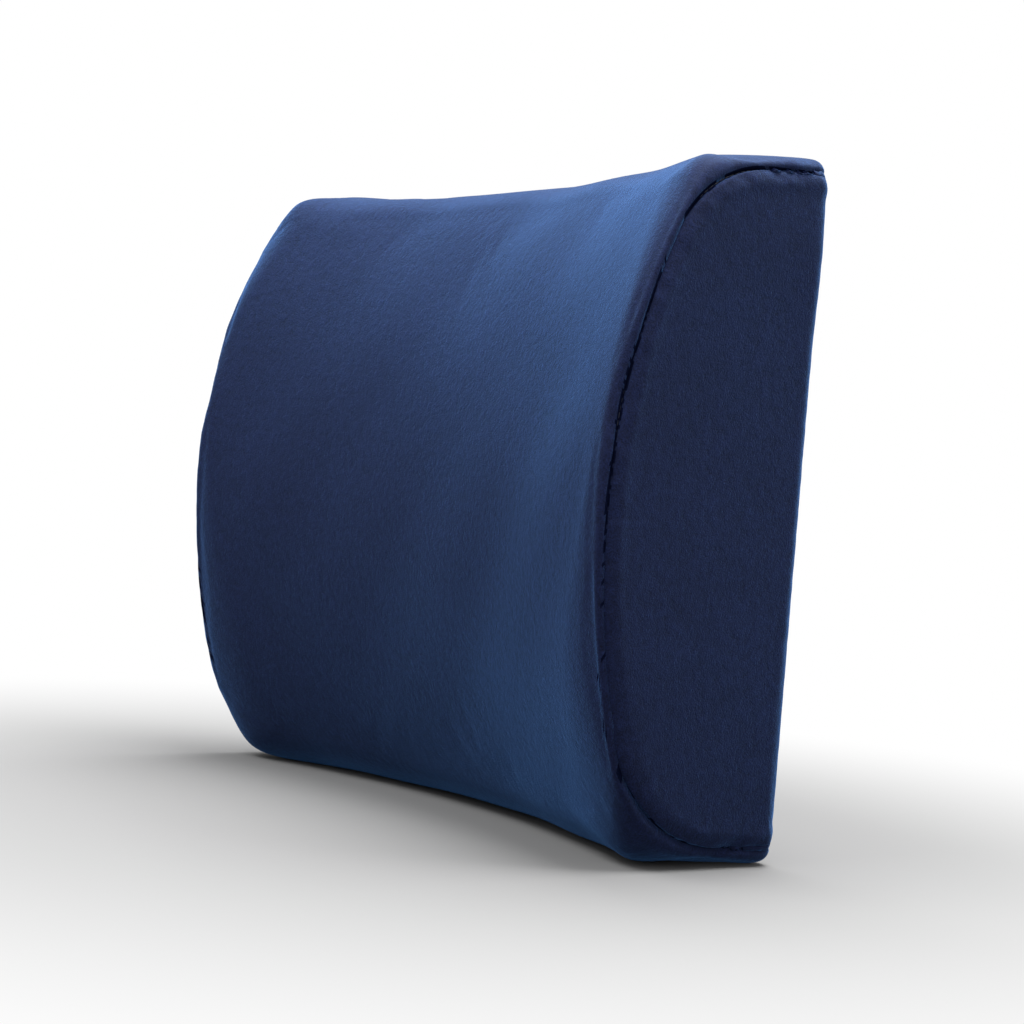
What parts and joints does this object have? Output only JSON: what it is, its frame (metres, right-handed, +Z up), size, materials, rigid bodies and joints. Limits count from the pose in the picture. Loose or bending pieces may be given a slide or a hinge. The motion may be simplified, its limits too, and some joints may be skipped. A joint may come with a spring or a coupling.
{
  "type": "lumbar support cushion",
  "caption": "Crowned D-section back cushion with a hollowed front, flat zipped back and a buckled elastic strap for a chair back.",
  "frame": {"origin": "middle of the whole object's box in X and Y, on the surface that the cushion stands on", "axes": "+X along the cushion's width, towards the wearer's left; +Y out of the flat back, so the crowned front faces -Y; +Z up from the base"},
  "size_m": [0.355, 0.1313, 0.319],
  "materials": {
    "velour": "matte",
    "thread": "matte",
    "foam": "matte",
    "liner": "matte",
    "zip_tape": "matte",
    "zip_coil": "satin",
    "zip_metal": "satin",
    "webbing": "matte",
    "buckle_plastic": "satin",
    "label": "satin"
  },
  "bodies": {
    "cushion": {"back_panel_lower": "velour", "back_panel_upper": "velour", "back_seam": "thread", "bar_tack_left": "thread", "bar_tack_right": "thread", "buckle_socket": "buckle_plastic", "care_label": "label", "cover_wrap": "velour", "end_panel_left": "velour", "end_panel_right": "velour", "end_seam_left": "thread", "end_seam_right": "thread", "foam_core": "foam", "inner_liner": "liner", "strap_fold": "webbing", "strap_left": "webbing", "strap_right": "webbing", "zip_end_stops": "zip_metal", "zip_tape_lower": "zip_tape", "zip_tape_upper": "zip_tape", "zip_teeth_lower": "zip_coil", "zip_teeth_upper": "zip_coil"},
    "slider": {"zip_slider": "zip_metal"},
    "pull": {"zip_pull": "zip_metal"},
    "plug": {"buckle_plug": "buckle_plastic"},
    "prong_upper": {"buckle_prong_upper": "buckle_plastic"},
    "prong_lower": {"buckle_prong_lower": "buckle_plastic"},
    "adjuster": {"strap_adjuster": "buckle_plastic"}
  },
  "joints": [
    {"name": "zip_slide", "type": "slide", "parent": "cushion", "child": "slider", "axis": [1, 0, 0], "range_m": [-0.228, 0]},
    {"name": "pull_flip", "type": "hinge", "parent": "slider", "child": "pull", "pos_m": [0.115, 0.0596, 0.062], "axis": [0, 0, 1], "range_deg": [0, 165]},
    {"name": "plug_release", "type": "slide", "parent": "cushion", "child": "plug", "axis": [1, 0, 0], "range_m": [0, 0.03], "deforming": ["strap_right", "buckle_prong_upper", "buckle_prong_lower"]},
    {"name": "prong_press_upper", "type": "hinge", "parent": "plug", "child": "prong_upper", "pos_m": [-0.0018, 0.06165, 0.201], "axis": [0, -1, 0], "range_deg": [0, 8], "stiffness_Nm_per_rad": 0.3},
    {"name": "prong_press_lower", "type": "hinge", "parent": "plug", "child": "prong_lower", "pos_m": [-0.0018, 0.06165, 0.179], "axis": [0, 1, 0], "range_deg": [0, 8], "stiffness_Nm_per_rad": 0.3},
    {"name": "strap_adjust", "type": "slide", "parent": "plug", "child": "adjuster", "axis": [1, 0, 0], "range_m": [-0.03, 0.035], "deforming": ["strap_fold"]}
  ]
}
